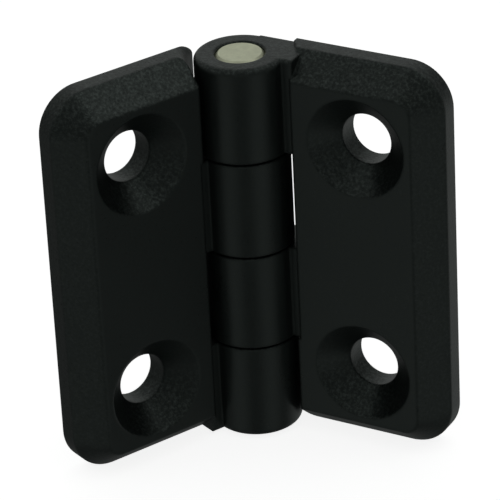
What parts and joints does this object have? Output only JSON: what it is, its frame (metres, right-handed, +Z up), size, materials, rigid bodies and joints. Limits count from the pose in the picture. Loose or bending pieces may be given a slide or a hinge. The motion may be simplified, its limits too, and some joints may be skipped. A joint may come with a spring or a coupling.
{
  "type": "butt hinge",
  "caption": "Short moulded butt hinge: two bevelled leaves with countersunk screw holes, interleaved round knuckles and a pressed steel pin.",
  "frame": {"origin": "on the fixed leaf's flat mounting face, midway between its two screw holes", "axes": "+Y out of the fixed leaf's mounting face, +Z up along the pin, +X from the pin towards the fixed leaf's outer edge. The pin axis is at X = -15 mm, Y = -5.5 mm."},
  "size_m": [0.0407, 0.0269, 0.05],
  "materials": {
    "black_nylon": "fine spark-eroded grain, semi-matte",
    "pin_steel": "turned end faces, satin"
  },
  "bodies": {
    "fixed_side": {"fixed_leaf": "black_nylon", "hinge_pin": "pin_steel"},
    "moving_side": {"moving_leaf": "black_nylon"}
  },
  "joints": [
    {"name": "leaf_swing", "type": "hinge", "parent": "fixed_side", "child": "moving_side", "pos_m": [-0.015, -0.0055, 0], "axis": [0, 0, 1], "range_deg": [-119, 105]}
  ]
}
